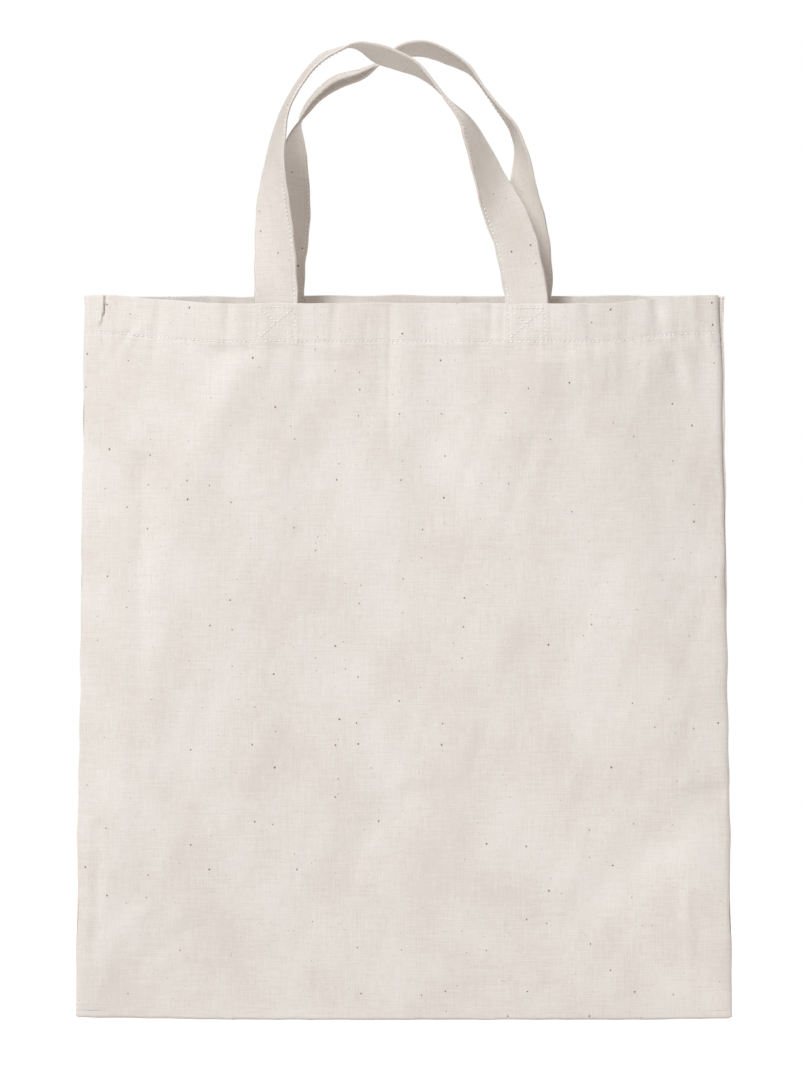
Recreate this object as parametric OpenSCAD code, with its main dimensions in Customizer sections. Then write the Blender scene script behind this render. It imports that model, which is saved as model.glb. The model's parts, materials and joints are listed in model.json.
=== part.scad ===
// Cotton tote bag with two loop handles, hanging with its mouth a little open.
//
// Each wall is drawn flat in its own plane: x across, z up from the hinge line just above the bottom
// fold, y = 0 in the middle of the cloth and -y outwards. A wall has a middle panel and two side
// triangles, which fold along creases that run from the bottom corners to the mouth. The walls are then
// folded, tilted and mirrored into place, so far apart that the two handles clear each other.

/* [Bag] */
// Width of the bag along its bottom fold
bag_w = 380; // [310:1:460]
// Height from the bottom fold to the top edge, measured along the cloth
bag_h = 420; // [340:1:510]
// How far each side edge leans in between the bottom fold and the top edge
side_taper = 4; // [0:1:10]
// Distance from the outer edge of a strap to the crease beside it, along the mouth
crease_margin = 14; // [8:1:20]
// Thickness of one layer of cloth
cloth_t = 0.4; // [0.3:0.05:0.6]

/* [Bottom fold] */
// Height of the strip of cloth that turns under the bag
fold_h = 6; // [5:0.5:12]

/* [Hem] */
// Height of the turned hem at the mouth
hem_w = 25; // [18:1:34]
// Layers of cloth in the hem
hem_layers = 3; // [2:1:4]
// Distance from the lower edge of the hem up to its row of stitches
hem_stitch_in = 3; // [1.5:0.5:6]

/* [Side seams] */
// Width of the seam allowance inside each side
seam_w = 8; // [5:0.5:14]
// Thickness of the seam allowance
seam_t = 0.8; // [0.5:0.1:1.2]
// Distance from the side edge to the row of seam stitches
seam_stitch_in = 5; // [3:0.5:5]

/* [Handles] */
// Width of the folded strap
strap_w = 25; // [20:1:32]
// Thickness of the folded strap
strap_t = 1.6; // [1:0.1:2.4]
// Distance between the middles of a handle's two legs
handle_gap = 144; // [110:1:175]
// Height of the handles above the top edge
handle_rise = 147; // [110:1:260]
// How far the front handle sits to the left, and the back handle to the right
handle_shift = 1.5; // [0:0.5:4]
// Distance from the lower edge of the hem up to the end of the strap
tab_margin = 1; // [0.5:0.5:5]
// Distance from the edge of the strap to its rows of stitches
strap_stitch_in = 2; // [1:0.5:4]

/* [Thread] */
// Length of one stitch
stitch_l = 1.7; // [1.2:0.1:2.2]
// Distance from the start of one stitch to the start of the next
stitch_pitch = 2.5; // [2.4:0.1:5]
// Width of the thread
thread_w = 0.5; // [0.3:0.1:0.6]
// How far a stitch stands proud of the cloth
thread_t = 0.2; // [0.1:0.05:0.3]
// Gap between the curved face of a strap and the straight stitches along its edge
stitch_lift = 0.16; // [0.15:0.01:0.3]

/* [Clearances] */
// Gap between two pieces that turn against each other
hinge_gap = 0.6; // [0.4:0.1:1]
// Gap between the front and the back wall where they are closest
wall_gap = 1; // [0.8:0.1:2]
// Gap between the two handles where their straps stand edge to edge
handle_clear = 3.2; // [2:0.2:8]

/* [Hidden] */
$fn = 32;

FRONT = 1;
BACK = -1;
RIGHT = 1;
LEFT = -1;

hem_t = hem_layers * cloth_t;
hinge = hinge_gap / 2;                      // kept clear on each side of every hinge line
wall_l = bag_h - fold_h;                    // from the hinge line to the top edge
hem_z = wall_l - hem_w;                     // lower edge of the hem
outer_y = -cloth_t / 2;                     // outer face of a wall
hem_in_y = outer_y + hem_t;                 // inner face of the hem
seam_in_y = cloth_t / 2 + seam_t;           // inner face of the seam allowance
strap_mid_y = hem_in_y + strap_t / 2;       // middle of a strap end sewn inside the hem
wall_y = max(hem_in_y, seam_in_y) + wall_gap / 2;   // from the middle plane of the bag to a wall, at the fold

// The creases of a wall, and the side edges, in the flat
crease_top = handle_gap / 2 + handle_shift + strap_w / 2 + crease_margin;
crease_in = bag_w / 2 - crease_top;
crease_angle = atan(crease_in / wall_l);
crease_clear = hinge / cos(crease_angle);
function crease_x(z) = bag_w / 2 - crease_in * z / wall_l;
function seam_x(z) = bag_w / 2 - side_taper * z / wall_l;
function side_tip_z(edge) = (crease_clear + edge) * wall_l / (crease_in - side_taper);

// Tilt of the walls: the straps stand upright, strap_y from the middle plane
strap_y = (strap_w + handle_clear) / 2;
tilt = atan(strap_mid_y / wall_l) + asin((strap_y - wall_y) / norm([wall_l, strap_mid_y]));

// Fold of the side triangles that brings the side edges of the tilted walls together
crease = [-crease_in, 0, wall_l] / norm([crease_in, wall_l]);
side_corner = [-side_taper, 0, wall_l];
crease_foot = (side_corner * crease) * crease;
corner_arm = side_corner - crease_foot;
side_fold = atan(corner_arm[2] * tan(tilt) / norm(corner_arm))
    + asin(crease_foot[2] * tan(tilt) / norm([norm(corner_arm), corner_arm[2] * tan(tilt)]));

// Top edge of the walls as they stand
top_z = fold_h + wall_l * cos(tilt);
handle_z = top_z + hinge;

// Stations along a handle: across in % of half its width, height in % of its rise, twist of the strap
FRONT_STATIONS = [
    [-100, 0, 0], [-101, 16, 17], [-103, 36, 42], [-102, 50, 60], [-99, 60, 68], [-92, 73, 80],
    [-76, 86, 79], [-62, 93, 76], [-53, 95, 79], [-43, 97, 84], [-33, 97, 95], [-18, 94, 111],
    [0, 91, 108], [13, 88, 99], [25, 83, 89], [37, 76, 84], [50, 69, 75], [58, 61, 62],
    [67, 50, 46], [74, 41, 33], [82, 32, 12], [91, 21, 5], [97, 7, 0], [100, 0, 0]
];
BACK_STATIONS = [
    [-100, 0, 0], [-99, 13, 0], [-96, 25, 4], [-94, 36, 17], [-93, 46, 34], [-91, 55, 54],
    [-89, 62, 70], [-86, 69, 92], [-82, 73, 100], [-73, 79, 105], [-57, 85, 113], [-38, 88, 110],
    [-24, 92, 98], [-11, 96, 84], [1, 98, 76], [16, 98, 75], [32, 95, 79], [50, 90, 88],
    [60, 84, 92], [72, 76, 89], [86, 67, 84], [92, 59, 80], [94, 51, 66], [94, 44, 53],
    [95, 36, 34], [99, 20, 8], [101, 7, 0], [100, 0, 0]
];
SPAN_STEPS = 4;
EDGE_SIDES = 4;

// Catmull-Rom curve through the stations, upright where a handle leaves the hem
function station(s, i) = i < 0 ? 2 * s[0] - s[1]
    : i >= len(s) ? 2 * s[len(s) - 1] - s[len(s) - 2]
    : s[i];
function blended(a, b, c, d, t) =
    (2 * b + (c - a) * t + (2 * a - 5 * b + 4 * c - d) * t * t + (3 * b - a - 3 * c + d) * t * t * t) / 2;
function at(s, u) = let (i = min(floor(u), len(s) - 2))
    blended(station(s, i - 1), station(s, i), station(s, i + 1), station(s, i + 2), u - i);
function middle(s, shift, u) = let (p = at(s, u))
    [p[0] * handle_gap / 200 + shift, -strap_y, handle_z + p[1] * handle_rise / 100];
function along(s, u) = let (
    last = len(s) - 1,
    d = middle(s, 0, min(u + 0.01, last)) - middle(s, 0, max(u - 0.01, 0)),
    t = u == 0 ? [0, 0, 1] : u == last ? [0, 0, -1] : d
) t / norm(t);
function across(s, u) = let (t = along(s, u), twist = at(s, u)[2])
    cos(twist) * [t[2], 0, -t[0]] + sin(twist) * [0, -1, 0];

// A point of the row of stitches on the outer face of a handle
function stitch_point(s, shift, u) = let (w = across(s, u))
    middle(s, shift, u) + (strap_w / 2 - strap_stitch_in) * w + strap_t / 2 * cross(w, along(s, u));

// Outline of a strap: flat faces and rounded edges, [across, outwards]
function strap_outline() = [
    for (side = [1, -1], k = [0 : EDGE_SIDES])
        let (a = side * 90 - 180 * k / EDGE_SIDES)
            [side * (strap_w - strap_t) / 2 + strap_t / 2 * cos(a), strap_t / 2 * sin(a)]
];

module cloth() { color([0.91, 0.88, 0.85]) children(); }
module strap() { color([0.89, 0.86, 0.83]) children(); }
module thread() { color([0.96, 0.95, 0.93]) children(); }

// Places a piece that is drawn in the front wall's plane
module wall(face) {
    mirror([0, face == BACK ? 1 : 0, 0])
        translate([0, -wall_y, fold_h]) rotate([tilt, 0, 0]) children();
}

// Places a piece that is drawn in the plane of the wall's right side triangle
module side(face, hand) {
    wall(face) mirror([hand == LEFT ? 1 : 0, 0, 0])
        translate([bag_w / 2, 0, 0]) rotate(a = side_fold, v = crease) translate([-bag_w / 2, 0, 0]) children();
}

// A flat piece of thickness t, with its outer face at y
module sheet(outline, y, t) {
    translate([0, y + t, 0]) rotate([90, 0, 0]) linear_extrude(t) polygon(outline);
}

// Cross-section of the hem, rounded over at the top, run across the whole wall
module hem_bar() {
    rotate([90, 0, 90]) linear_extrude(bag_w, center = true) {
        translate([outer_y, hem_z]) square([hem_t, hem_w - hem_t / 2]);
        translate([outer_y + hem_t / 2, wall_l - hem_t / 2]) circle(hem_t / 2);
    }
}

// A row of stitches on the outer face y, from p to q
module stitch_row(p, q, y, even = false) {
    run = norm(q - p);
    whole = floor((run + stitch_pitch - stitch_l) / stitch_pitch);
    count = even ? whole - whole % 2 : whole;
    translate([p[0], y, p[1]]) rotate([0, -atan2(q[1] - p[1], q[0] - p[0]), 0])
        for (i = [0 : count - 1])
            translate([run / 2 + (i - (count - 1) / 2) * stitch_pitch, -thread_t / 2, 0])
                cube([stitch_l, thread_t, thread_w], center = true);
}

module bottom_fold() {
    top = fold_h - hinge;
    r = wall_y + cloth_t / 2;
    cloth() rotate([90, 0, 90]) linear_extrude(bag_w, center = true) difference() {
        union() {
            translate([0, r]) circle(r);
            translate([-r, r]) square([2 * r, top - r]);
        }
        translate([0, r]) circle(r - cloth_t);
        translate([cloth_t - r, r]) square([2 * (r - cloth_t), top]);
    }
}

module panel(face) {
    low = crease_x(hinge) - crease_clear;
    high = crease_x(hem_z) - crease_clear;
    cloth() wall(face)
        sheet([[-low, hinge], [low, hinge], [high, hem_z], [-high, hem_z]], outer_y, cloth_t);
}

module panel_hem(face) {
    low = crease_x(hem_z) - crease_clear;
    high = crease_x(wall_l) - crease_clear;
    cloth() wall(face) intersection() {
        hem_bar();
        sheet([[-low, hem_z], [low, hem_z], [high, wall_l], [-high, wall_l]], outer_y - 1, hem_t + 2);
    }
}

module panel_hem_stitches(face) {
    z = hem_z + hem_stitch_in;
    x = crease_x(z) - crease_clear - stitch_pitch / 2;
    thread() wall(face) stitch_row([-x, z], [x, z], outer_y);
}

module side_cloth(face, hand) {
    tip = side_tip_z(0);
    cloth() side(face, hand) sheet(
        [[seam_x(tip), tip], [seam_x(hem_z), hem_z], [crease_x(hem_z) + crease_clear, hem_z]],
        outer_y, cloth_t
    );
}

module side_hem(face, hand) {
    cloth() side(face, hand) intersection() {
        hem_bar();
        sheet(
            [
                [crease_x(hem_z) + crease_clear, hem_z], [seam_x(hem_z), hem_z],
                [seam_x(wall_l), wall_l], [crease_x(wall_l) + crease_clear, wall_l]
            ],
            outer_y - 1, hem_t + 2
        );
    }
}

module side_hem_stitches(face, hand) {
    z = hem_z + hem_stitch_in;
    thread() side(face, hand) stitch_row(
        [crease_x(z) + crease_clear + stitch_pitch / 2, z], [seam_x(z) - stitch_pitch / 2, z], outer_y
    );
}

// The two raw edges of a side seam, pressed to the inside of the back wall and caught by its hem
module side_seam(hand) {
    tip = side_tip_z(0);
    meet = side_tip_z(seam_w);
    cloth() side(BACK, hand) sheet(
        [
            [seam_x(tip), tip], [seam_x(hem_z), hem_z],
            [seam_x(hem_z) - seam_w, hem_z], [seam_x(meet) - seam_w, meet]
        ],
        cloth_t / 2, seam_t
    );
}

module side_seam_stitches(hand) {
    low = side_tip_z(seam_w);
    thread() side(BACK, hand) stitch_row(
        [seam_x(low) - seam_stitch_in, low], [seam_x(hem_z) - seam_stitch_in, hem_z - stitch_pitch],
        seam_in_y + thread_t
    );
}

// One end of a strap, flat against the inside of the hem
module handle_end(face, hand) {
    low = hem_z + tab_margin;
    flat_w = strap_w - strap_t;
    strap() wall(face) translate([hand * handle_gap / 2 - face * handle_shift, strap_mid_y, low])
        linear_extrude(wall_l - hinge - low) {
            square([flat_w, strap_t], center = true);
            for (x = [-flat_w / 2, flat_w / 2]) translate([x, 0]) circle(strap_t / 2);
        }
}

// The box and cross that hold a strap end, seen on the outside of the hem
module box_stitches(face, hand) {
    w = strap_w / 2 - strap_stitch_in;
    low = hem_z + hem_stitch_in + stitch_pitch / 2;
    high = wall_l - hem_t / 2 - strap_stitch_in;
    in = stitch_pitch / 2;
    thread() wall(face) translate([hand * handle_gap / 2 - face * handle_shift, 0, 0]) {
        stitch_row([-w + in / 2, high], [w - in / 2, high], outer_y);
        for (x = [-w, w]) stitch_row([x, low], [x, high - in / 2], outer_y);
        for (x = [-w, w]) stitch_row([x * (1 - in / w), low + in / 2], [-x * (1 - in / w), high - in], outer_y, true);
    }
}

// The free loop of a strap, swept along its stations
module handle(face, stations) {
    steps = SPAN_STEPS * (len(stations) - 1);
    outline = strap_outline();
    n = len(outline);
    rings = [
        for (k = [0 : steps])
            let (
                u = k / SPAN_STEPS, m = middle(stations, -face * handle_shift, u),
                w = across(stations, u), o = cross(w, along(stations, u))
            )
                for (p = outline) m + p[0] * w + p[1] * o
    ];
    skin = [
        for (k = [0 : steps - 1], j = [0 : n - 1])
            let (a = k * n + j, b = k * n + (j + 1) % n)
                each [[a, b, b + n], [a, b + n, a + n]]
    ];
    strap() mirror([0, face == BACK ? 1 : 0, 0])
        polyhedron(
            rings,
            concat([[for (j = [n - 1 : -1 : 0]) j]], skin, [[for (j = [0 : n - 1]) steps * n + j]])
        );
}

// A row of stitches along the inner edge of a handle, on its outer face
module handle_stitches(face, stations) {
    last = len(stations) - 1;
    shift = -face * handle_shift;
    fine = 12 * last;
    points = [for (k = [0 : fine]) middle(stations, 0, k / 12)];
    lengths = [for (k = 0, l = 0; k <= fine; l = l + (k < fine ? norm(points[k + 1] - points[k]) : 0), k = k + 1)
        [l, k / 12]];
    run = lengths[fine][0];
    count = floor(run / stitch_pitch) - 1;
    thread() mirror([0, face == BACK ? 1 : 0, 0])
        for (i = [0 : count - 1]) {
            place = SPAN_STEPS * lookup(run / 2 + (i - (count - 1) / 2) * stitch_pitch, lengths);
            k = floor(place);
            a = stitch_point(stations, shift, k / SPAN_STEPS);
            b = stitch_point(stations, shift, (k + 1) / SPAN_STEPS);
            t = (b - a) / norm(b - a);
            w = across(stations, (k + 0.5) / SPAN_STEPS);
            o = cross(w, t) / norm(cross(w, t));
            v = cross(t, o);
            p = a + (place - k) * (b - a) + (thread_t / 2 + stitch_lift) * o;
            multmatrix([
                [t[0], o[0], -v[0], p[0]], [t[1], o[1], -v[1], p[1]], [t[2], o[2], -v[2], p[2]], [0, 0, 0, 1]
            ])
                cube([stitch_l, thread_t, thread_w], center = true);
        }
}

bottom_fold();
panel(FRONT);  // front_panel
panel_hem(FRONT);  // front_hem
panel_hem_stitches(FRONT);  // front_hem_stitches
handle_end(FRONT, LEFT);  // front_handle_left_end
handle_end(FRONT, RIGHT);  // front_handle_right_end
box_stitches(FRONT, LEFT);  // front_left_box_stitches
box_stitches(FRONT, RIGHT);  // front_right_box_stitches
side_cloth(FRONT, LEFT);  // front_left_side
side_hem(FRONT, LEFT);  // front_left_hem
side_hem_stitches(FRONT, LEFT);  // front_left_hem_stitches
side_cloth(FRONT, RIGHT);  // front_right_side
side_hem(FRONT, RIGHT);  // front_right_hem
side_hem_stitches(FRONT, RIGHT);  // front_right_hem_stitches
panel(BACK);  // back_panel
panel_hem(BACK);  // back_hem
panel_hem_stitches(BACK);  // back_hem_stitches
handle_end(BACK, LEFT);  // back_handle_left_end
handle_end(BACK, RIGHT);  // back_handle_right_end
box_stitches(BACK, LEFT);  // back_left_box_stitches
box_stitches(BACK, RIGHT);  // back_right_box_stitches
side_cloth(BACK, LEFT);  // back_left_side
side_hem(BACK, LEFT);  // back_left_hem
side_hem_stitches(BACK, LEFT);  // back_left_hem_stitches
side_seam(LEFT);  // left_side_seam
side_seam_stitches(LEFT);  // left_side_seam_stitches
side_cloth(BACK, RIGHT);  // back_right_side
side_hem(BACK, RIGHT);  // back_right_hem
side_hem_stitches(BACK, RIGHT);  // back_right_hem_stitches
side_seam(RIGHT);  // right_side_seam
side_seam_stitches(RIGHT);  // right_side_seam_stitches
handle(FRONT, FRONT_STATIONS);  // front_handle
handle_stitches(FRONT, FRONT_STATIONS);  // front_handle_edge_stitches
handle(BACK, BACK_STATIONS);  // back_handle
handle_stitches(BACK, BACK_STATIONS);  // back_handle_edge_stitches
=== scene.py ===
import json
import math
import bpy
import numpy as np
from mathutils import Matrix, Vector


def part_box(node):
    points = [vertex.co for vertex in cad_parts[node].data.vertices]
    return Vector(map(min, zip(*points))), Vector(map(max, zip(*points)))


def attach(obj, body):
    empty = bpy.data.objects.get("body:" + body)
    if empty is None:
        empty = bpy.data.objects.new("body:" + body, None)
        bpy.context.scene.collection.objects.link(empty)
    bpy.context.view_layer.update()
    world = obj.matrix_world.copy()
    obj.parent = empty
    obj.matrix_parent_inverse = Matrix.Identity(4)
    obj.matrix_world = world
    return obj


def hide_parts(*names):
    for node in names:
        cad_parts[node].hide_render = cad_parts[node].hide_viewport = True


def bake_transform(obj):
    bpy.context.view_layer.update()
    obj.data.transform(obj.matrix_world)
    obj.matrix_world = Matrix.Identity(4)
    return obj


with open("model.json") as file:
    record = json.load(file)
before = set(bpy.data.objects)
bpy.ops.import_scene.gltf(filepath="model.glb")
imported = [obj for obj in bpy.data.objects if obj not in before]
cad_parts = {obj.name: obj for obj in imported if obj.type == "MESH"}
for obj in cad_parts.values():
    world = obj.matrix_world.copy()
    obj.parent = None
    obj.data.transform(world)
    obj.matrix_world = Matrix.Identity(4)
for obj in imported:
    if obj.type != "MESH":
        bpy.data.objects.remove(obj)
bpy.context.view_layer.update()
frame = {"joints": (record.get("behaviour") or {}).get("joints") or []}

bpy.ops.object.select_all(action="DESELECT")

# ---------------------------------------------------------------------------
# Camera, light and floor
# A long lens looks level at the front of the bag. A big soft light stands up on the
# left, and a white room fills the shadows.
VIEW_H = 0.6256          # height of what the lens takes in, at the bag
VIEW_X, VIEW_Z = -0.0014, 0.278
VIEW_FAR = 2.6
camera_data = bpy.data.cameras.new("camera")
camera_data.sensor_width = 36.0
camera_data.lens = camera_data.sensor_width * VIEW_FAR / VIEW_H
camera = bpy.data.objects.new("camera", camera_data)
camera.location = (VIEW_X, -VIEW_FAR, VIEW_Z)
camera.rotation_euler = (math.radians(90), 0, 0)
bpy.context.scene.collection.objects.link(camera)
bpy.context.scene.camera = camera
bpy.context.scene.view_settings.view_transform = "Standard"


def area_light(name, at, aim, size, watts, tint):
    data = bpy.data.lights.new(name, "AREA")
    data.shape = "DISK"
    data.size = size
    data.energy = watts
    data.color = tint
    lamp = bpy.data.objects.new(name, data)
    lamp.location = at
    lamp.rotation_euler = (Vector(aim) - Vector(at)).to_track_quat("-Z", "Y").to_euler()
    bpy.context.scene.collection.objects.link(lamp)


area_light("key_light", (-1.5, -2.55, 3.0), (0, 0, 0.3), 1.2, 121, (0.950, 0.978, 1.0))
area_light("back_light", (1.7, 1.6, 1.9), (0, 0, 0.3), 1.0, 34, (1.0, 0.99, 0.98))

room = bpy.data.worlds.new("room")
bpy.context.scene.world = room
room.use_nodes = True
room_nodes = room.node_tree.nodes
background = room_nodes["Background"]
ROOM_FILL = (0.385, 0.357, 0.335)
lightpath = room_nodes.new("ShaderNodeLightPath")
seen = room_nodes.new("ShaderNodeMix")
seen.data_type = "RGBA"
seen.inputs[6].default_value = (*ROOM_FILL, 1)       # what lights the bag
seen.inputs[7].default_value = (1, 1, 1, 1)          # what the lens sees
room.node_tree.links.new(lightpath.outputs["Is Camera Ray"], seen.inputs["Factor"])
room.node_tree.links.new(seen.outputs[2], background.inputs["Color"])

FLOOR_DROP = 0.0006      # the floor lies just under the bag
bpy.ops.mesh.primitive_plane_add(size=3.2, location=(0, -0.5, -FLOOR_DROP))
floor = bpy.context.object
floor.name = "floor"
floor_white = bpy.data.materials.new("floor_white")
floor_white.use_nodes = True
floor_paint = floor_white.node_tree.nodes["Principled BSDF"].inputs
floor_paint["Base Color"].default_value = (0.78, 0.77, 0.76, 1)
floor_paint["Roughness"].default_value = 0.9
floor_paint["Emission Strength"].default_value = 0.58
floor_lightpath = floor_white.node_tree.nodes.new("ShaderNodeLightPath")
floor_white.node_tree.links.new(floor_lightpath.outputs["Is Camera Ray"], floor_paint["Emission Color"])
floor.data.materials.append(floor_white)


# ---------------------------------------------------------------------------
# Walls
# Each wall is one layer of light, undyed plain-weave cotton. It runs from the bottom fold
# up to the mouth and rolls over the top edge into the hem, and its sides turn in to the seams.
MM = 0.001
joints = {j["name"]: j for j in frame["joints"]}
_, wall_y, fold_z = (abs(c) for c in joints["mouth_open"]["pos_m"])
half_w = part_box("bottom_fold")[1].x
cx, cy, cz = joints["front_right_fold"]["axis"]
tilt = math.atan2(-cy, cz)
crease_dir = np.array([cx, 0, math.hypot(cy, cz)])
crease_dir /= np.linalg.norm(crease_dir)
crease_slope = -crease_dir[0] / crease_dir[2]
hem_w = 25 * MM
cloth_t = 0.4 * MM
hem_t = 3 * cloth_t
side_taper = 4 * MM      # each side comes in this far from the bottom fold to the mouth
wall_l = (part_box("front_hem")[1].z - fold_z) / math.cos(tilt)
hem_z = wall_l - hem_w
seam_y = 0.28 * MM       # from the middle plane to a wall's cloth where the two walls are sewn together
SEAM_TURN = 3.2 * MM     # how near a side seam the wall turns in
CREASE_R = 22 * MM       # how far each side of a crease the cloth takes to turn

# how far a side triangle turns about its crease, so that its edge meets the other wall's edge
corner = np.array([-side_taper, 0, wall_l])
foot = corner.dot(crease_dir) * crease_dir
arm = corner - foot
arm_l = np.linalg.norm(arm)
side_fold = (math.atan2(arm[2] * math.tan(tilt), arm_l)
             + math.asin(foot[2] * math.tan(tilt) / math.hypot(arm_l, arm[2] * math.tan(tilt))))


def smooth(t):
    t = np.clip(t, 0, 1)
    return t * t * (3 - 2 * t)


def turned(points, pivot, axis, angle):
    """Points turned about an axis, each by its own angle."""
    axis = np.array(axis, float)
    p = points - np.array(pivot)
    c, s = np.cos(angle)[:, None], np.sin(angle)[:, None]
    return p * c + np.cross(axis, p) * s + np.outer(p @ axis, axis) * (1 - c) + np.array(pivot)


def lay(face, x, z, out):
    """Places cloth: x across, z up the wall from the fold line, out from the wall's middle."""
    p = np.stack([np.abs(x), -out, z], 1)
    d = (p[:, 0] - half_w + crease_slope * z) * crease_dir[2]
    p = turned(p, (half_w, 0, 0), crease_dir, side_fold * smooth((d + CREASE_R) / (2 * CREASE_R)))
    p[:, 0] *= np.where(x < 0, -1.0, 1.0)
    p = turned(p, (0, 0, 0), (1, 0, 0), np.full(len(p), tilt)) + np.array([0, -wall_y, fold_z])
    if face == "back":
        p[:, 1] *= -1
    return p


def ripples(x, z, waves, across, along, rng):
    """Smooth random relief, about -1 to 1, made of waves of the given lengths in metres."""
    total = np.zeros_like(x)
    for _ in range(waves):
        kx = rng.normal() / across
        kz = rng.normal() / along
        total += np.sin(2 * math.pi * (kx * x + kz * z) + rng.uniform(0, 2 * math.pi))
    return total / math.sqrt(waves)


# Soft folds in a wall, in mm: x and height of the top, x and height of the foot, width, and how
# far the fold stands out (or, less than 0, lies in)
FOLDS = {
    "front": [
        (-8, 426, -9, 316, 1.5, -0.40), (-11, 426, -12, 300, 7, -0.5), (-1, 426, -1, 300, 8, 0.5),
        (-101, 426, -102, 386, 2.6, -0.75), (-38, 426, -42, 388, 3, -0.5), (-141, 426, -146, 372, 3.4, -0.8),
        (51, 426, 50, 392, 2.4, -0.5), (106, 426, 109, 384, 3, -0.55), (145, 426, 152, 384, 3.2, -0.65),
        (168, 426, 172, 396, 4, 0.5), (-101, 400, -152, 296, 12, -1.1), (74, 345, 56, 255, 7, -0.55),
        (-88, 392, -118, 330, 12, 0.6), (-150, 408, -169, 378, 3.0, 0.5), (-155, 406, -172, 376, 3.2, -0.45),
        (-58, 400, -62, 350, 8, -0.5), (52, 396, 50, 350, 6, -0.5), (112, 398, 100, 330, 10, 0.5),
        (160, 396, 172, 350, 5, 0.5), (154, 396, 164, 356, 4.5, -0.45), (150, 396, 120, 300, 14, 0.6),
        (28, 398, 12, 290, 14, -0.6), (84, 394, 60, 250, 16, 0.6), (-40, 394, -60, 260, 16, -0.5),
        (-172, 300, -168, 200, 9, 0.5), (172, 260, 166, 120, 10, -0.5), (-150, 70, -176, 30, 8, 0.5),
        (-120, 60, -170, 14, 10, -0.5), (-152, 330, -153, 90, 6, -0.75), (188, 140, 44, 10, 24, -1.1),
        (164, 84, 166, 2, 3.5, 0.5), (172, 404, 177, 386, 2.0, -0.5), (178, 403, 182, 384, 1.8, 0.45),
        (-176, 120, -180, 6, 3.5, -0.5), (10, 140, -60, 60, 14, -0.55),
    ],
    "back": [
        (30, 426, 32, 330, 5, -0.5), (102, 426, 100, 390, 2.6, -0.6), (-108, 426, -104, 376, 5, -0.6),
        (148, 426, 150, 384, 4, -0.6), (100, 396, 136, 316, 13, -0.9), (-146, 408, -168, 378, 3.2, 0.8),
        (-30, 398, -12, 280, 15, -0.6), (-86, 394, -60, 250, 16, 0.5), (60, 396, 40, 290, 14, 0.5),
        (170, 290, 166, 180, 9, 0.5), (-172, 230, -167, 110, 10, -0.5),
    ],
}
# Deep tucks where the hem turns over the side seams, in mm: x, height of top and foot, lean
TUCKS = {
    "front": [(-174.5, 419, 401, 2.0)],
    "back": [(-180.0, 418, 400, 1.0), (176.0, 419, 402, -1.5)],
}
FACES = ("front", "back")
HANDS = ((-1, "left"), (1, "right"))
HANDLE_X = {face: [sum(c.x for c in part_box(f"{face}_handle_{side}_end")) / 2 for _, side in HANDS]
            for face in FACES}
strap_w = 25 * MM
STITCH_Z = hem_z + 3 * MM
STRAP_STITCH = strap_w / 2 - 2 * MM     # from a strap's middle to the stitches along its edge
SEWN_IN = 0.22 * MM                     # how deep stitches draw the cloth in
PEEK = {"front": -2.6 * MM, "back": 0.5 * MM}        # how far a wall's right side looks out
HEM_DIP = {"front": 5.2 * MM, "back": -1.0 * MM}     # how far the mouth hangs down at its middle


def relief(face, x, z):
    """How far the cloth stands out from its flat wall, in metres, at points of the flat wall."""
    rng = np.random.default_rng(11 if face == "front" else 29)
    h = 0.50 * MM * ripples(x, z, 14, 0.11, 0.19, rng) * smooth(z / 0.08)
    h += 0.16 * MM * ripples(x, z, 22, 0.030, 0.075, rng)
    h += 0.045 * MM * ripples(x, z, 26, 0.009, 0.018, rng)
    below = np.clip((STITCH_Z - z) / (60 * MM), 0, 1)
    soft = ripples(x, z * 0.35, 20, 0.016, 0.10, rng)
    h += soft * np.where(z < STITCH_Z, 0.20 * MM * (1 - below) ** 2, 0.14 * MM)
    pucker = ripples(x, z * 0.3, 26, 0.0055, 0.05, rng)
    h += 0.10 * MM * pucker * np.exp(-((z - STITCH_Z) / (7 * MM)) ** 2)
    for x1, z1, x0, z0, width, height in FOLDS[face]:
        run = z1 * MM - fold_z - z
        t = run / ((z1 - z0) * MM)
        middle = x1 * MM + (x0 - x1) * MM * np.clip(t, 0, 1)
        fade = smooth(run / (9 * MM)) * smooth((1.15 - t) / 0.9)
        h += 1.65 * height * MM * fade * np.exp(-((x - middle) / (width * MM)) ** 2)
    h -= SEWN_IN * np.exp(-((z - STITCH_Z) / (0.9 * MM)) ** 2)
    for hx in HANDLE_X[face]:
        over_strap = smooth((strap_w / 2 + 1.2 * MM - np.abs(x - hx)) / (2.4 * MM))
        h += 0.35 * MM * over_strap * smooth((z - hem_z) / (3 * MM))
        for side in (-1, 1):
            line = np.exp(-((x - hx - side * STRAP_STITCH) / (0.8 * MM)) ** 2)
            h -= SEWN_IN * line * (z > STITCH_Z)
    for tx, z1, z0, lean in TUCKS[face]:
        t = (z1 * MM - fold_z - z) / ((z1 - z0) * MM)
        bow = tx * MM - lean * MM * (np.clip(t, 0, 1) ** 2)
        depth = smooth((1 - t) / 0.25) * smooth(t * 8 + 1)
        past = (x - bow) * np.sign(tx)          # the lip of the tuck is on its outer side
        h += 1.1 * MM * depth * np.where(past > 0, np.exp(-(past / (2.8 * MM)) ** 2), 0)
        h -= 1.9 * MM * depth * np.exp(-((past + 0.35 * MM) / (0.42 * MM)) ** 2)
    return h


def side_edge(z):
    return half_w - side_taper * z / wall_l


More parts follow.
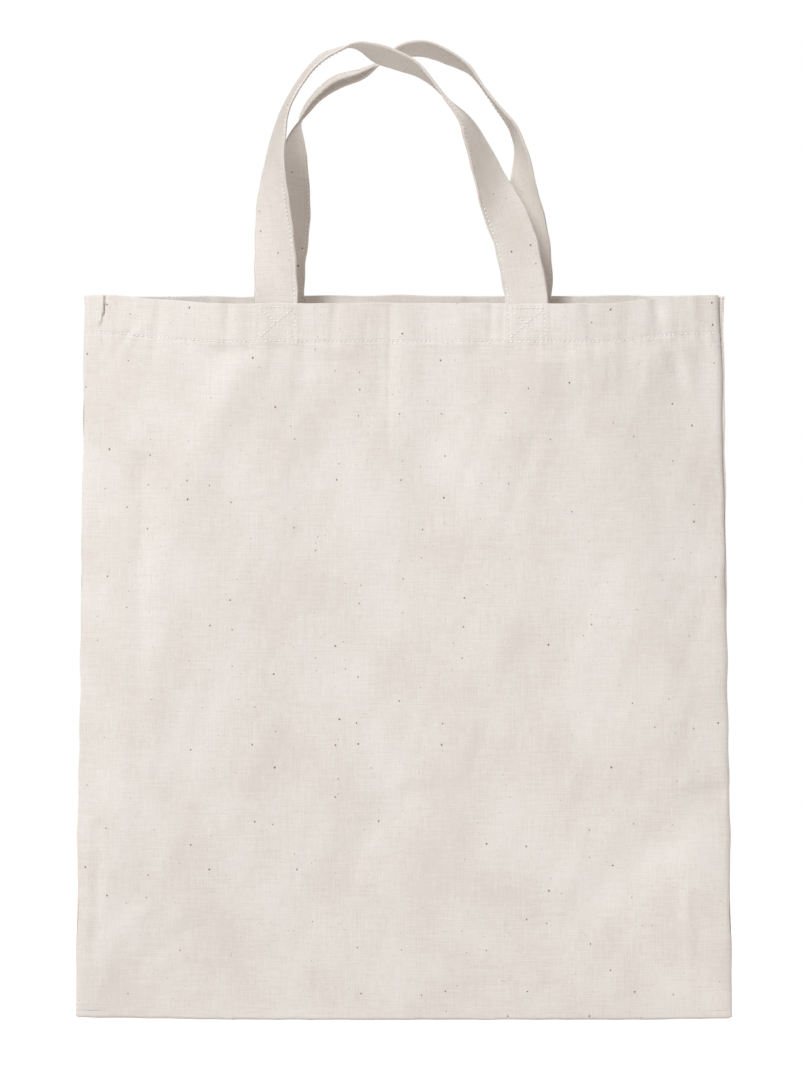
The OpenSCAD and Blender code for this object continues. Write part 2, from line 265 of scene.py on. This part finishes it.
def cloth_points(face, x, z, under):
    """Cloth of a wall with its relief, at flat place x, z and at a depth under its outer face."""
    rng = np.random.default_rng(5 if face == "front" else 6)
    edge = side_edge(z)
    room_in = edge - np.abs(x)
    h = relief(face, x, z)
    allowance = 0.13 * MM * smooth((10 * MM - room_in) / (3 * MM)) * smooth((room_in - 0.5 * MM) / (3 * MM))
    h = (h + allowance) * smooth(room_in / (4 * MM)) * smooth(z / (7 * MM))
    turn = np.clip(1 - room_in / SEAM_TURN, 0, 1)
    h -= (wall_y - seam_y) * (1 - np.sqrt(1 - turn ** 2))
    wave = 0.42 * MM * ripples(z, z * 0, 9, 0.055, 1, rng) * np.abs(x / edge) ** 3 * smooth(z / 0.05)
    # on the right the back wall looks out past the front one, most at the hem
    peek = PEEK[face] * (0.45 * smooth((z - 0.19) / 0.10) + 0.55 * smooth((z - 0.36) / 0.04))
    wave += np.where(x > 0, peek, 0) * np.abs(x / edge) ** 10
    drop = HEM_DIP[face] * smooth((178 * MM - np.abs(x)) / (75 * MM)) * smooth((z - 0.27) / 0.12)
    lift = 0.35 * MM * ripples(x, x * 0, 10, 0.06, 1, rng) * smooth((z - 0.3) / 0.1)
    return lay(face, x + wave * np.sign(x), z - drop + lift - 0.3 * MM * (z > hem_z), h - under)


def cloth_sheet(name, columns, rows, place, thickness):
    """A grid of cloth. From 0..1 places, place() gives its points and their flat places, for the UV."""
    bpy.ops.mesh.primitive_grid_add(x_subdivisions=columns, y_subdivisions=rows, size=2, calc_uvs=True)
    piece = bpy.context.object
    piece.name = piece.data.name = name
    co = np.empty(len(piece.data.vertices) * 3)
    piece.data.vertices.foreach_get("co", co)
    co = co.reshape(-1, 3)
    points, flat = place((co[:, 0] + 1) / 2, (co[:, 1] + 1) / 2)
    piece.data.vertices.foreach_set("co", points.ravel())
    corner_vertex = np.empty(len(piece.data.loops), int)
    piece.data.loops.foreach_get("vertex_index", corner_vertex)
    piece.data.uv_layers[0].data.foreach_set("uv", flat[corner_vertex].ravel())
    piece.data.update()
    bpy.ops.object.mode_set(mode="EDIT")
    bpy.ops.mesh.select_all(action="SELECT")
    bpy.ops.mesh.normals_make_consistent(inside=False)
    bpy.ops.object.mode_set(mode="OBJECT")
    if thickness:
        solid = piece.modifiers.new("thickness", "SOLIDIFY")
        solid.thickness = thickness
        solid.offset = 0
        bpy.ops.object.modifier_apply(modifier="thickness")
    bpy.ops.object.shade_smooth_by_angle(angle=math.radians(50))
    piece.select_set(False)
    return piece


class Wire:
    """A shader value. Arithmetic on it adds Math nodes."""

    def __init__(self, paint, socket):
        self.paint, self.socket = paint, socket

    def math(self, operation, *others):
        return self.paint.node("ShaderNodeMath", {"operation": operation}, dict(enumerate((self, *others))))

    def __add__(self, other):
        return self.math("ADD", other)

    def __mul__(self, other):
        return self.math("MULTIPLY", other)

    def __sub__(self, other):
        return self.math("SUBTRACT", other)

    def __rsub__(self, other):
        return self.paint.node("ShaderNodeMath", {"operation": "SUBTRACT"}, {0: other, 1: self})

    __radd__, __rmul__ = __add__, __mul__


class Paint:
    """A material, built one node at a time."""

    def __init__(self, name):
        self.material = bpy.data.materials.new(name)
        self.material.use_nodes = True
        self.tree = self.material.node_tree
        self.tree.nodes.clear()

    def node(self, kind, settings=(), sockets=(), out=0):
        made = self.tree.nodes.new(kind)
        for key, value in dict(settings).items():
            setattr(made, key, value)
        for key, value in dict(sockets).items():
            if isinstance(value, Wire):
                self.tree.links.new(value.socket, made.inputs[key])
            else:
                made.inputs[key].default_value = value
        return Wire(self, made.outputs[out]) if made.outputs else made

    def step(self, value, low, high):
        return self.node("ShaderNodeMapRange", {"interpolation_type": "SMOOTHSTEP"},
                         {"Value": value, "From Min": low, "From Max": high})

    def mix(self, factor, a, b):
        return self.node("ShaderNodeMix", {"data_type": "RGBA"}, {"Factor": factor, 6: a, 7: b}, out=2)

    def finish(self, color, normal, roughness, sheen, specular=0.25):
        self.node("ShaderNodeOutputMaterial", (), {"Surface": self.node("ShaderNodeBsdfPrincipled", (), {
            "Base Color": color, "Normal": normal, "Roughness": roughness, "Sheen Weight": sheen,
            "Sheen Roughness": 0.45, "Specular IOR Level": specular})})
        return self.material


FLECK_BROWN = (0.20, 0.105, 0.055, 1)
THREADS = 2100.0         # threads in a metre


def cotton(name, light, dark, flecks_shown, relief_depth=0.55, streaks=0.50):
    """Plain-weave cotton in metres: threads, thick and thin yarn, faint clouds and seed flecks."""
    p = Paint(name)
    flat = p.node("ShaderNodeTexCoord", out="UV")

    def scaled(x, y, z=0.0):
        return p.node("ShaderNodeVectorMath", {"operation": "MULTIPLY"}, {0: flat, 1: (x, y, z)})

    def noise(vector, detail=2.0, roughness=0.5):
        return p.node("ShaderNodeTexNoise", {"noise_dimensions": "2D"},
                      {"Vector": vector, "Scale": 1.0, "Detail": detail, "Roughness": roughness})

    yarn_up = noise(scaled(THREADS * 0.62, 34.0), 3.0, 0.65)
    yarn_across = noise(scaled(30.0, THREADS * 0.62), 3.0, 0.65)
    short_slubs = noise(scaled(900.0, 150.0), 2.0) + noise(scaled(140.0, 950.0), 2.0) - 1.0
    clouds = noise(scaled(22.0, 18.0), 3.0)
    grain = noise(scaled(1500.0, 1500.0), 3.0, 0.6)
    separate = p.node("ShaderNodeSeparateXYZ", (), {0: scaled(THREADS * math.pi, THREADS * math.pi)}, out="X")
    up = separate.math("SINE")
    across = Wire(p, separate.socket.node.outputs["Y"]).math("SINE")
    weave = up * across
    tone = (0.5 + (yarn_up - 0.5) * streaks + (yarn_across - 0.5) * 0.50 + short_slubs * 0.34
            + (grain - 0.5) * 0.5 + (clouds - 0.5) * 0.72 + weave * 0.05)
    color = p.mix(p.step(tone, 0.21, 0.79), dark, light)

    wander = p.node("ShaderNodeTexNoise", {"noise_dimensions": "2D"},
                    {"Vector": scaled(700.0, 700.0), "Scale": 1.0}, out="Color")
    # big dark flecks, faint ones and small dark ones: cells in a metre, biggest size, share, strength
    for cells, biggest, share, strength in ((82.0, 0.055, flecks_shown, 0.88),
                                            (160.0, 0.055, flecks_shown * 2.0, 0.40),
                                            (64.0, 0.024, flecks_shown * 2.0, 0.80)):
        bent = p.node("ShaderNodeVectorMath", {"operation": "MULTIPLY_ADD"},
                      {0: wander, 1: (0.055, 0.04, 0.0), 2: scaled(cells, cells * 0.86)})
        near = p.node("ShaderNodeTexVoronoi", {"voronoi_dimensions": "2D"},
                      {"Vector": bent, "Scale": 1.0}, out="Distance")
        chance = p.node("ShaderNodeSeparateColor", (), {0: Wire(p, near.socket.node.outputs["Color"])},
                        out="Red")
        width = Wire(p, chance.socket.node.outputs["Green"]) * biggest * 0.62 + biggest * 0.38
        there = chance.math("GREATER_THAN", 1.0 - share)
        spot = p.step(width - near, 0.0, biggest * 0.35)
        color = p.mix(spot * there * strength, color, FLECK_BROWN)

    fuzz = noise(scaled(5200.0, 5200.0), 2.0)
    height = weave * 0.45 + yarn_up * streaks * 1.45 + yarn_across * 0.9 + short_slubs * 0.5 + fuzz * 0.5
    bump = p.node("ShaderNodeBump", (), {"Strength": relief_depth, "Distance": 0.00013, "Height": height})
    return p.finish(color, bump, 0.93, 0.12)


cloth_paint = cotton("natural_cotton", (0.830, 0.787, 0.748, 1), (0.742, 0.686, 0.640, 1), 0.23)


def across_crease(piece, hand):
    """Bakes the piece's place into its mesh. The cloth's turn from the wall's middle panel to its side
    triangle is already in its points.
    """
    at = Vector((hand * (half_w - crease_slope * wall_l / 2), 0, wall_l / 2 * math.cos(tilt) + fold_z))
    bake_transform(piece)


ROLL = 0.8 * MM          # cloth that goes over the top edge and down inside
ROWS_V = [0, 0.52, 0.68, 0.79, 0.94, 1]      # shares of the rows up to the lengths in wall_place

WALL_COLUMNS, WALL_ROWS = 172, 262
for face in FACES:
    for hand, side in HANDS:
        # columns lie closer together at the edges of the strap and at the tuck, rows at the stitches
        x = np.linspace(0, half_w, 1200)
        tucks = [abs(t[0]) * MM for t in TUCKS[face] if t[0] * hand > 0]
        dense = 1 + sum(4.5 * np.exp(-((x - t) / (3.5 * MM)) ** 2) for t in tucks)
        for off in (-1, 1):
            edge = abs(HANDLE_X[face][hand > 0]) + off * (strap_w / 2 - 0.5 * MM)
            dense += 1.6 * np.exp(-((x - edge) / (3 * MM)) ** 2)
        columns_u = np.cumsum(dense) - dense[0]
        columns_u /= columns_u[-1]

        def wall_place(u, v):
            roll_r = (hem_t - cloth_t) / 2
            straight = wall_l - roll_r - cloth_t / 2
            s = np.interp(v, ROWS_V, [0, 0.84 * straight, hem_z - 2 * MM, hem_z + 7 * MM, straight,
                                      straight + math.pi * roll_r + ROLL])
            u = np.interp(u, columns_u, np.linspace(0, 1, len(columns_u)))
            a = np.clip((s - straight) / roll_r, 0, math.pi)
            down = np.clip(s - straight - math.pi * roll_r, 0, None)
            z = np.minimum(s, straight) + roll_r * np.sin(a) - down
            x = hand * u * side_edge(np.minimum(z, wall_l))
            return cloth_points(face, x, z, roll_r * (1 - np.cos(a))), np.stack([x, s], 1)

        wall = cloth_sheet(f"{face}_{side}_wall", WALL_COLUMNS, WALL_ROWS, wall_place, cloth_t)
        wall.data.materials.append(cloth_paint)
        across_crease(wall, hand)
        wall_l + 2 * MM
        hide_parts(f"{face}_panel", f"{face}_{side}_side")


# ---------------------------------------------------------------------------
# Bottom fold
# The cloth has no seam at the bottom: front and back are one piece, which turns under the bag
# in a soft fold. The side seams pinch its two ends together.
def bottom_place(u, v):
    x = (2 * u - 1) * half_w
    turn = np.clip(1 - (half_w - np.abs(x)) / SEAM_TURN, 0, 1)
    r = wall_y - (wall_y - seam_y) * (1 - np.sqrt(1 - turn ** 2))
    straight = fold_z - wall_y - cloth_t / 2
    girth = 2 * straight + math.pi * wall_y
    s = girth * v
    a = np.clip((s - straight) / wall_y, 0, math.pi)
    rise = np.maximum(straight - s, 0) + np.maximum(s - girth + straight, 0)
    rng = np.random.default_rng(3)
    low = 0.10 * MM * (1 + ripples(x, x * 0, 9, 0.05, 1, rng)) + 0.9 * MM * turn ** 3
    low += 1.2 * MM * smooth((-x - 0.08) / 0.10) + 0.7 * MM * smooth((x - 0.12) / 0.07)
    z = cloth_t / 2 + wall_y * (1 - np.sin(a)) + rise
    z += np.clip(low, 0, None) * (1 - rise / straight)
    return np.stack([x, -r * np.cos(a), z], 1), np.stack([x, -s], 1)


bottom = cloth_sheet("bottom_fold_cloth", 220, 26, bottom_place, cloth_t)
bottom.data.materials.append(cloth_paint)
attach(bottom, "base")
2 * fold_z + 2 * MM
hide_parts("bottom_fold")


# ---------------------------------------------------------------------------
# Hems
# The mouth is turned in twice, so two more layers lie inside the wall down to the row of stitches.
HEM_LAYERS_T = hem_t - cloth_t
HEM_SHORT = 1.0 * MM     # the inner layers end this far from the top edge and the side
HEM_PATTERN_Z = 0.6      # turns the weave of the hem round and moves its flecks away from the wall's
for face in FACES:
    for hand, side in HANDS:
        def hem_place(u, v):
            z = hem_z + (hem_w - HEM_SHORT) * v
            x = hand * u * (side_edge(z) - HEM_SHORT)
            flat = np.stack([x, HEM_PATTERN_Z - z], 1)
            return cloth_points(face, x, z, (cloth_t + HEM_LAYERS_T) / 2), flat

        hem = cloth_sheet(f"{face}_{side}_hem_band", 105, 22, hem_place, HEM_LAYERS_T)
        hem.data.materials.append(cloth_paint)
        across_crease(hem, hand)
        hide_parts(f"{face}_hem", f"{face}_{side}_hem")


# ---------------------------------------------------------------------------
# Side seams
# The raw edges of both walls are sewn together inside the bag, and pressed towards the back wall.
SEAM_W, SEAM_T = 8 * MM, 0.8 * MM
SEAM_FOOT = 9 * MM       # the allowance starts here, above the bottom fold, and ends under the hem
SEAM_IN = 0.6 * MM       # from the side edge to the seam
SEAM_LEN = hem_z - 10 * MM
for hand, side in HANDS:
    def seam_place(u, v):
        z = SEAM_FOOT + SEAM_LEN * v
        room_in = SEAM_IN + u * (SEAM_W - SEAM_IN)
        x = hand * (side_edge(z) - room_in)
        return cloth_points("back", x, z, (cloth_t + SEAM_T) / 2), np.stack([x, z], 1)

    seam = cloth_sheet(f"{side}_side_seam_allowance", 8, 200, seam_place, SEAM_T)
    seam.data.materials.append(cloth_paint)
    across_crease(seam, hand)
    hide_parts(f"{side}_side_seam")


# ---------------------------------------------------------------------------
# Handles
# Each handle is one strip of the same cotton, folded to four layers and stitched along its inner edge.
# Its two ends are sewn to the inside of the hem, and it twists on its way up and over.
FRONT_STATIONS = [
    (-100, 0, 0), (-101, 16, 17), (-103, 36, 42), (-102, 50, 60), (-99, 60, 68), (-92, 73, 80),
    (-76, 86, 79), (-62, 93, 76), (-53, 95, 79), (-43, 97, 84), (-33, 97, 95), (-18, 94, 111),
    (0, 91, 108), (13, 88, 99), (25, 83, 89), (37, 76, 84), (50, 69, 75), (58, 61, 62),
    (67, 50, 46), (74, 41, 33), (82, 32, 12), (91, 21, 5), (97, 7, 0), (100, 0, 0),
]
BACK_STATIONS = [
    (-100, 0, 0), (-99, 13, 0), (-96, 25, 4), (-94, 36, 17), (-93, 46, 34), (-91, 55, 54),
    (-89, 62, 70), (-86, 69, 92), (-82, 73, 100), (-73, 79, 105), (-57, 85, 113), (-38, 88, 110),
    (-24, 92, 98), (-11, 96, 84), (1, 98, 76), (16, 98, 75), (32, 95, 79), (50, 90, 88),
    (60, 84, 92), (72, 76, 89), (86, 67, 84), (92, 59, 80), (94, 51, 66), (94, 44, 53),
    (95, 36, 34), (99, 20, 8), (101, 7, 0), (100, 0, 0),
]
HANDLE_RISE = 147 * MM
strap_t = 1.6 * MM
strap_y = -(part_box("front_handle")[0].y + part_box("front_handle")[1].y) / 2
handle_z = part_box("front_handle")[0].z
hinge_z = joints["front_handle_fold"]["pos_m"][2]
HANDLE_STEP = 1.5 * MM
END_POINTS = 20          # points along each sewn-down end
SOFTEN = 7               # neighbours on each side that even out a point of the middle line
STRAP_PATTERN_X = 0.3    # keeps the flecks of the straps apart from the walls'


def curve(stations, u):
    """Catmull-Rom curve through the stations."""
    s = np.array(stations, float)
    s = np.vstack([2 * s[0] - s[1], s, 2 * s[-1] - s[-2]])
    i = np.clip(u.astype(int), 0, len(stations) - 2)
    t = (u - i)[:, None]
    a, b, c, d = (s[i + k] for k in range(4))
    return (2 * b + (c - a) * t + (2 * a - 5 * b + 4 * c - d) * t ** 2 + (3 * b - a - 3 * c + d) * t ** 3) / 2


class Strap:
    """The middle line of a handle with its two ends, and the strap's directions along it."""

    def __init__(self, face, stations):
        self.face = face
        left, right = HANDLE_X[face]
        u = np.linspace(0, len(stations) - 1, 30 * (len(stations) - 1) + 1)
        at = curve(stations, u)
        loop = np.stack([(left + right) / 2 + at[:, 0] / 100 * (right - left) / 2,
                         np.full(len(u), -strap_y), handle_z + at[:, 1] / 100 * HANDLE_RISE], 1)
        z = np.linspace(hem_z + 1 * MM, wall_l - 3 * MM, END_POINTS)
        ends = []
        for x in (left, right):
            end = cloth_points(face, np.full(END_POINTS, x), z, cloth_t / 2 + HEM_LAYERS_T + strap_t / 2)
            end[:, 1] *= 1 if face == "front" else -1
            ends.append(end)
        line = np.vstack([ends[0], loop, ends[1][::-1]])
        twist = np.radians(np.pad(at[:, 2], END_POINTS))
        length = np.concatenate([[0], np.cumsum(np.linalg.norm(np.diff(line, axis=0), axis=1))])
        self.length = length[-1]
        s = np.linspace(0, self.length, int(self.length / (0.75 * MM)) + 1)
        line = np.stack([np.interp(s, length, line[:, k]) for k in range(3)], 1)
        twist = np.interp(s, length, twist)
        soften = np.hanning(2 * SOFTEN + 1)
        soften /= soften.sum()
        for k in range(3):
            line[SOFTEN:-SOFTEN, k] = np.convolve(line[:, k], soften, "valid")
        twist[SOFTEN:-SOFTEN] = np.convolve(twist, soften, "valid")
        self.s, self.line, self.twist = s, line, twist
        run = np.gradient(line, s, axis=0)
        self.along = run / np.linalg.norm(run, axis=1)[:, None]

    def place(self, s, a, out):
        """Points at length s, a across (towards the inside of the loop) and out from the middle."""
        middle = np.stack([np.interp(s, self.s, self.line[:, k]) for k in range(3)], 1)
        along = np.stack([np.interp(s, self.s, self.along[:, k]) for k in range(3)], 1)
        along /= np.linalg.norm(along, axis=1)[:, None]
        twist = np.interp(s, self.s, self.twist)[:, None]
        inward = np.stack([along[:, 2], 0 * s, -along[:, 0]], 1)
        inward /= np.linalg.norm(inward, axis=1)[:, None]
        across = np.cos(twist) * inward + np.sin(twist) * np.array([0, -1, 0])
        outward = np.cross(across, along)
        p = middle + across * a[:, None] + outward * out[:, None]
        if self.face == "back":
            p[:, 1] *= -1
            for v in (along, across, outward):
                v[:, 1] *= -1
        return p, along, across, outward


strap_paint = cotton("strap_cotton", (0.780, 0.732, 0.688, 1), (0.695, 0.635, 0.585, 1), 0.24, 0.40, 0.45)
straps = {"front": Strap("front", FRONT_STATIONS), "back": Strap("back", BACK_STATIONS)}


def over_hem(piece):
    """Bakes the piece's place into its mesh. The strap's shape where it comes out of the hem is already in
    its points.
    """
    hinge_z - 3 * MM
    hinge_z + 26 * MM
    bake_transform(piece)


for face in FACES:
    line = straps[face]
    rng = np.random.default_rng(17 if face == "front" else 23)
    shake = [rng.uniform(0, 2 * math.pi) for _ in range(4)]

    def strap_place(u, v):
        s = line.length * v
        # once round the strap: out along the outer face, and back along the inner one
        lap = (2 * u) % 2
        w = np.where(lap < 1, lap, 2 - lap) * 2 - 1
        a = np.sin(w * math.pi / 2) * 0.35 + w * 0.65
        near_edge = (np.abs(a) - 1) * strap_w / strap_t + 1
        rim = np.sqrt(1 - near_edge.clip(0, 1) ** 2)
        groove = 0.30 * np.exp(-((a * strap_w / 2 - STRAP_STITCH) / (0.8 * MM)) ** 2)
        groove += 0.10 * np.exp(-((a * strap_w / 2 + strap_w / 2 - 6 * MM) / (3 * MM)) ** 2)
        body = 1 - groove + 0.10 * np.sin(s * 620 + shake[0]) * np.exp(-((a - 0.8) / 0.3) ** 2)
        out = np.where(lap < 1, 1, -1) * strap_t / 2 * rim * np.clip(body, 0.2, 1.15)
        bowing = 0.55 * MM * np.sin(s * 41 + shake[1]) * (a ** 2 - 0.4)
        bowing += 0.35 * MM * np.sin(s * 97 + shake[2]) * a
        free = smooth((s - 26 * MM) / (20 * MM)) * smooth((line.length - s - 26 * MM) / (20 * MM))
        edge = 0.18 * MM * np.sin(s * 350 + shake[3] + a) * np.abs(a)
        p, _, _, _ = line.place(s, a * strap_w / 2 + edge, out + bowing * free)
        return p, np.stack([np.where(lap < 1, a, 2 - a) * strap_w / 2 + STRAP_PATTERN_X, s], 1)

    handle = cloth_sheet(f"{face}_strap", 56, int(line.length / HANDLE_STEP), strap_place, 0)
    handle.select_set(True)
    bpy.ops.object.mode_set(mode="EDIT")
    bpy.ops.mesh.select_all(action="SELECT")
    bpy.ops.mesh.remove_doubles(threshold=0.02 * MM)
    bpy.ops.mesh.fill_holes(sides=0)
    bpy.ops.mesh.select_all(action="SELECT")
    bpy.ops.mesh.normals_make_consistent(inside=False)
    bpy.ops.object.mode_set(mode="OBJECT")
    bpy.ops.object.shade_smooth()
    handle.select_set(False)
    handle.data.materials.append(strap_paint)
    over_hem(handle)
    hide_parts(f"{face}_handle", f"{face}_handle_left_end", f"{face}_handle_right_end")


# ---------------------------------------------------------------------------
# Stitches
# Off-white sewing thread. Each stitch is a short loop of thread pulled a little into the cloth: along the
# hem, round and across each strap end, along each strap's inner edge, and down the seams inside.
STITCH_L, STITCH_PITCH, THREAD_W, THREAD_T = 1.8 * MM, 2.5 * MM, 0.72 * MM, 0.42 * MM
p = Paint("sewing_thread")
thread_at = p.node("ShaderNodeTexCoord", out="Object")
twist = p.node("ShaderNodeTexNoise", (), {"Vector": thread_at, "Scale": 3200.0, "Detail": 1.0})
# painted shade: where a stitch goes down into the cloth, its ends are painted dark brown for the shade of the
# needle hole
along_stitch = p.node("ShaderNodeSeparateXYZ", (), {0: p.node("ShaderNodeTexCoord", out="UV")}, out="X")
needle_hole_shade = p.step((along_stitch - 0.5).math("ABSOLUTE"), 0.36, 0.49)
# the thread's colour, with painted needle-hole shade in dark brown towards each stitch's ends
thread_paint = p.finish(
    p.mix(needle_hole_shade, p.mix(twist, (0.88, 0.85, 0.81, 1), (0.95, 0.93, 0.90, 1)), (0.30, 0.22, 0.17, 1)),
    p.node("ShaderNodeBump", (), {"Strength": 0.4, "Distance": 0.00008, "Height": twist}), 0.7, 0.1, 0.3)

bpy.ops.mesh.primitive_uv_sphere_add(segments=8, ring_count=5, radius=0.5)
bead = bpy.context.object
bead_points = np.array([v.co for v in bead.data.vertices])[:, [2, 0, 1]]
bead_faces = [list(f.vertices) for f in bead.data.polygons]
bpy.data.objects.remove(bead)


def stitches(name, at, along, out, nodes):
    """One mesh of many stitches, lying along a direction on a face that looks out."""
    across = np.cross(out, along)
    shape = bead_points * (STITCH_L, THREAD_W, THREAD_T)
    bow = np.sqrt(np.clip(1 - (2 * bead_points[:, 0]) ** 2, 0, 1)) * 0.14 * MM
    points = at[:, None] + shape[None, :, 0, None] * along[:, None]
    points = points + shape[None, :, 1, None] * across[:, None]
    points = points + (shape[None, :, 2, None] + bow[None, :, None] + 0.02 * MM) * out[:, None]
    points = points.reshape(-1, 3)
    faces = [[i + k * len(bead_points) for i in f] for k in range(len(at)) for f in bead_faces]
    mesh = bpy.data.meshes.new(name)
    mesh.from_pydata(points.tolist(), [], faces)
    corner_vertex = np.empty(len(mesh.loops), int)
    mesh.loops.foreach_get("vertex_index", corner_vertex)
    flat = np.tile(bead_points[:, :2] + 0.5, (len(at), 1))
    mesh.uv_layers.new(name="UVMap").data.foreach_set("uv", flat[corner_vertex].ravel())
    piece = bpy.data.objects.new(name, mesh)
    bpy.context.scene.collection.objects.link(piece)
    mesh.materials.append(thread_paint)
    bpy.context.view_layer.objects.active = piece
    piece.select_set(True)
    bpy.ops.object.mode_set(mode="EDIT")
    bpy.ops.mesh.select_all(action="SELECT")
    bpy.ops.mesh.normals_make_consistent(inside=False)
    bpy.ops.object.mode_set(mode="OBJECT")
    bpy.ops.object.shade_smooth()
    piece.select_set(False)
    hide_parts(*nodes)
    return piece


def on_cloth(face, x, z, dx, dz, inside=False):
    """Where stitches at x, z that run along dx, dz lie on a wall's outer or inner face."""
    d = 0.4 * MM
    under = cloth_t / 2 + HEM_LAYERS_T if inside else -cloth_t / 2
    at = cloth_points(face, x, z, under)
    by_x = cloth_points(face, x + d, z, under) - cloth_points(face, x - d, z, under)
    by_z = cloth_points(face, x, z + d, under) - cloth_points(face, x, z - d, under)
    out = np.cross(by_x, by_z) * (1 if face == "front" else -1) * (-1 if inside else 1)
    out /= np.linalg.norm(out, axis=1)[:, None]
    along = by_x * np.asarray(dx)[:, None] + by_z * np.asarray(dz)[:, None]
    along /= np.linalg.norm(along, axis=1)[:, None]
    return at, along, out


def row(start, end, gap=0.0):
    """Places of the stitches in a straight row, in the flat."""
    start, end = np.array(start), np.array(end)
    run = np.linalg.norm(end - start)
    count = max(int((run - gap) / STITCH_PITCH), 1)
    t = (np.arange(count) - (count - 1) / 2) * STITCH_PITCH / run + 0.5
    spots = start + t[:, None] * (end - start)
    return np.hstack([spots, np.tile((end - start) / run, (count, 1))])


def sewn(face, rows, sides=(False, True)):
    """Stitches of some rows, on the wall's outer face and, where sides says True, its inner one."""
    spots = np.vstack(rows)
    parts = [on_cloth(face, *spots.T, inside=inside) for inside in sides]
    return [np.vstack(k) for k in zip(*parts)]


for face in FACES:
    for hand, side in HANDS:
        hem_row = row((0.0, STITCH_Z), (hand * (side_edge(STITCH_Z) - 2.5 * MM), STITCH_Z))
        piece = stitches(f"{face}_{side}_hem_thread", *sewn(face, [hem_row]),
                         (f"{face}_hem_stitches", f"{face}_{side}_hem_stitches"))
        across_crease(piece, hand)

    for hx, (_, side) in zip(HANDLE_X[face], HANDS):
        left, right = hx - STRAP_STITCH, hx + STRAP_STITCH
        low, high = STITCH_Z + 1.4 * MM, wall_l - 2.6 * MM
        box = [row((left, high), (right, high)), row((left, low), (left, high), 1 * MM),
               row((right, low), (right, high), 1 * MM), row((left, low), (right, high), 2 * MM),
               row((left, high), (right, low), 2 * MM)]
        piece = stitches(f"{face}_{side}_box_thread", *sewn(face, box, (False,)),
                         (f"{face}_{side}_box_stitches",))
        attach(piece, f"{face}_panel")

    line = straps[face]
    s = np.arange(4 * MM, line.length - 4 * MM, STITCH_PITCH)
    here = np.full(len(s), STRAP_STITCH)
    parts = []
    for hand in (1, -1):
        at, along, _, out = line.place(s, here, np.full(len(s), hand * strap_t / 2 * 0.62))
        parts.append((at, along, out * hand))
    piece = stitches(f"{face}_strap_thread", *[np.vstack(k) for k in zip(*parts)],
                     (f"{face}_handle_edge_stitches",))
    over_hem(piece)

for hand, side in HANDS:
    z = np.arange(90 * MM, hem_z - 4 * MM, STITCH_PITCH)
    x = hand * (side_edge(z) - 5 * MM)
    at, along, out = on_cloth("back", x, z, 0 * z, 0 * z + 1, inside=True)
    piece = stitches(f"{side}_seam_thread", at, along, out, (f"{side}_side_seam_stitches",))
    across_crease(piece, hand)
